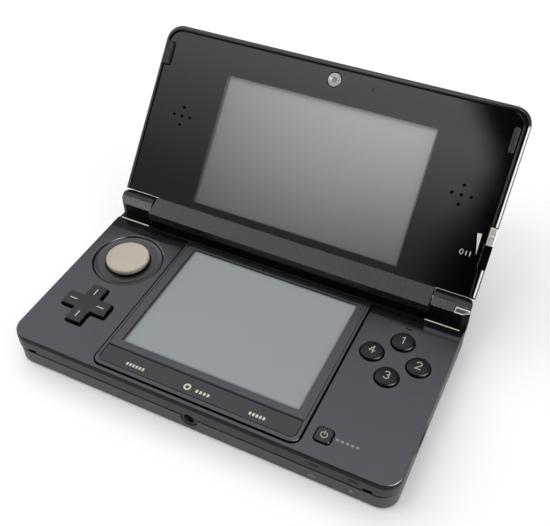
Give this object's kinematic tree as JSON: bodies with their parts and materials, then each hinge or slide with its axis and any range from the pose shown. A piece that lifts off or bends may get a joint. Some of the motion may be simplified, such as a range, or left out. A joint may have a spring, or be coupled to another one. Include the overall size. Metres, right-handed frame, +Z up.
{
  "type": "handheld lcd game",
  "caption": "Clamshell handheld game with a lower touch screen, an upper wide screen, a sliding pad, a cross pad, push buttons and a hinged lid.",
  "frame": {"origin": "centre of the flat underside, on the battery cover's outer face", "axes": "+X towards the player's right, +Y from the front edge towards the hinge, +Z up out of the control deck"},
  "size_m": [0.1344, 0.1161, 0.0687],
  "materials": {
    "deck_plastic": "dark warm grey, fine metallic flake, semi-gloss",
    "case_plastic": "near black, fine satin",
    "gloss_black": "piano black, mirror gloss",
    "lid_shell": "black lacquer, gloss",
    "barrel_plastic": "dark grey, fine spark texture",
    "button_plastic": "dark gloss with pale marks",
    "pad_rubber": "warm pale grey, soft matte",
    "touch_glass": "pale teal grey when off",
    "screen_glass": "warm grey when off",
    "film": "smooth dark film with pale marks",
    "board": "green solder mask",
    "sheet_metal": "plain stamped sheet",
    "gold_contact": "bright plated",
    "dark_rubber": "matt",
    "silicone": "translucent grey",
    "battery_wrap": "satin label wrap",
    "silver_plastic": "silver lacquer",
    "lamp_lens": "pale clear lens",
    "lens_glass": "coated lens",
    "white_plastic": "natural acetal"
  },
  "bodies": {
    "base": {"lower_case": "case_plastic", "battery_cover": "case_plastic", "battery_screw_left": "sheet_metal", "battery_screw_right": "sheet_metal", "battery_pack": "battery_wrap", "upper_case": "deck_plastic", "notification_lamp": "lamp_lens", "hinge_pin_left": "sheet_metal", "hinge_pin_right": "sheet_metal", "screen_tray": "gloss_black", "touch_panel": "touch_glass", "lower_lcd": "sheet_metal", "menu_film": "film", "main_board": "board", "headphone_jack": "gold_contact", "card_slot": "sheet_metal", "power_connector": "dark_rubber", "infrared_window": "gloss_black", "memory_card_slot": "sheet_metal", "circle_pad_ring": "button_plastic", "circle_pad_module": "dark_rubber", "cross_pad_membrane": "silicone", "button_membrane": "silicone"},
    "lid": {"lid_cover": "lid_shell", "lid_frame": "lid_shell", "lid_panel": "gloss_black", "upper_window": "screen_glass", "upper_lcd": "sheet_metal", "barrier_screen": "lens_glass", "camera_ring": "silver_plastic", "inner_camera": "lens_glass", "outer_camera_left": "lens_glass", "outer_camera_right": "lens_glass", "speaker_left": "dark_rubber", "speaker_right": "dark_rubber", "bumper_left": "dark_rubber", "bumper_right": "dark_rubber", "hinge_barrel": "barrel_plastic"},
    "pad_carriage": {"circle_pad_carriage": "white_plastic"},
    "circle_pad": {"circle_pad_skirt": "button_plastic", "circle_pad_cap": "pad_rubber"},
    "cross_rocker": {"cross_pad_seat": "dark_rubber"},
    "cross_pad": {"cross_pad": "button_plastic"},
    "depth_slider": {"depth_slider": "silver_plastic"},
    "button_top": {"button_top": "button_plastic"},
    "button_right": {"button_right": "button_plastic"},
    "button_bottom": {"button_bottom": "button_plastic"},
    "button_left": {"button_left": "button_plastic"},
    "power_button": {"power_button": "button_plastic"},
    "menu_key_left": {"menu_key_left": "dark_rubber"},
    "menu_key_middle": {"menu_key_middle": "dark_rubber"},
    "menu_key_right": {"menu_key_right": "dark_rubber"},
    "volume_slider": {"volume_slider": "button_plastic"},
    "wireless_switch": {"wireless_switch": "button_plastic"},
    "shoulder_button_left": {"shoulder_button_left": "button_plastic"},
    "shoulder_button_right": {"shoulder_button_right": "button_plastic"},
    "memory_card_flap": {"memory_card_flap": "dark_rubber"},
    "stylus_rod": {"stylus_rod": "dark_rubber"},
    "stylus_grip": {"stylus_grip": "button_plastic"}
  },
  "joints": [
    {"name": "lid_hinge", "type": "hinge", "parent": "base", "child": "lid", "pos_m": [0, 0.03292, 0.01676], "axis": [1, 0, 0], "range_deg": [-24, 130.9]},
    {"name": "depth_slide", "type": "slide", "parent": "lid", "child": "depth_slider", "axis": [0, 0.655, 0.7556], "range_m": [-0.0076, 0]},
    {"name": "circle_pad_x", "type": "slide", "parent": "base", "child": "pad_carriage", "axis": [1, 0, 0], "range_m": [-0.0024, 0.0024], "stiffness_N_per_m": 150},
    {"name": "circle_pad_y", "type": "slide", "parent": "pad_carriage", "child": "circle_pad", "axis": [0, 1, 0], "range_m": [-0.0024, 0.0024], "stiffness_N_per_m": 150},
    {"name": "cross_pad_fore_aft", "type": "hinge", "parent": "base", "child": "cross_rocker", "pos_m": [-0.0505, -0.016, 0.01], "axis": [1, 0, 0], "range_deg": [-3.5, 3.5], "stiffness_Nm_per_rad": 0.3},
    {"name": "cross_pad_side", "type": "hinge", "parent": "cross_rocker", "child": "cross_pad", "pos_m": [-0.0505, -0.016, 0.01], "axis": [0, 1, 0], "range_deg": [-3.5, 3.5], "stiffness_Nm_per_rad": 0.3},
    {"name": "press_top", "type": "slide", "parent": "base", "child": "button_top", "axis": [0, 0, -1], "range_m": [0, 0.001], "stiffness_N_per_m": 400},
    {"name": "press_right", "type": "slide", "parent": "base", "child": "button_right", "axis": [0, 0, -1], "range_m": [0, 0.001], "stiffness_N_per_m": 400},
    {"name": "press_bottom", "type": "slide", "parent": "base", "child": "button_bottom", "axis": [0, 0, -1], "range_m": [0, 0.001], "stiffness_N_per_m": 400},
    {"name": "press_left", "type": "slide", "parent": "base", "child": "button_left", "axis": [0, 0, -1], "range_m": [0, 0.001], "stiffness_N_per_m": 400},
    {"name": "press_power", "type": "slide", "parent": "base", "child": "power_button", "axis": [0, 0, -1], "range_m": [0, 0.0005], "stiffness_N_per_m": 500},
    {"name": "press_menu_left", "type": "slide", "parent": "base", "child": "menu_key_left", "axis": [0, 0, -1], "range_m": [0, 0.0003], "stiffness_N_per_m": 800},
    {"name": "press_menu_middle", "type": "slide", "parent": "base", "child": "menu_key_middle", "axis": [0, 0, -1], "range_m": [0, 0.0003], "stiffness_N_per_m": 800},
    {"name": "press_menu_right", "type": "slide", "parent": "base", "child": "menu_key_right", "axis": [0, 0, -1], "range_m": [0, 0.0003], "stiffness_N_per_m": 800},
    {"name": "volume_slide", "type": "slide", "parent": "base", "child": "volume_slider", "axis": [0, 1, 0], "range_m": [-0.0025, 0.0025]},
    {"name": "wireless_slide", "type": "slide", "parent": "base", "child": "wireless_switch", "axis": [0, 1, 0], "range_m": [-0.0015, 0.0015]},
    {"name": "shoulder_left", "type": "hinge", "parent": "base", "child": "shoulder_button_left", "pos_m": [-0.0465, 0.035, 0.007], "axis": [0, 0, 1], "range_deg": [0, 3.4], "stiffness_Nm_per_rad": 0.2},
    {"name": "shoulder_right", "type": "hinge", "parent": "base", "child": "shoulder_button_right", "pos_m": [0.0465, 0.035, 0.007], "axis": [0, 0, -1], "range_deg": [0, 3.4], "stiffness_Nm_per_rad": 0.2},
    {"name": "card_flap", "type": "hinge", "parent": "base", "child": "memory_card_flap", "pos_m": [-0.0664, -0.0058, 0.0046], "axis": [0, 0, 1], "range_deg": [0, 95]},
    {"name": "stylus_draw", "type": "slide", "parent": "base", "child": "stylus_rod", "axis": [0, 1, 0], "range_m": [0, 0.06]},
    {"name": "stylus_extend", "type": "slide", "parent": "stylus_rod", "child": "stylus_grip", "axis": [0, 1, 0], "range_m": [0, 0.022]}
  ]
}
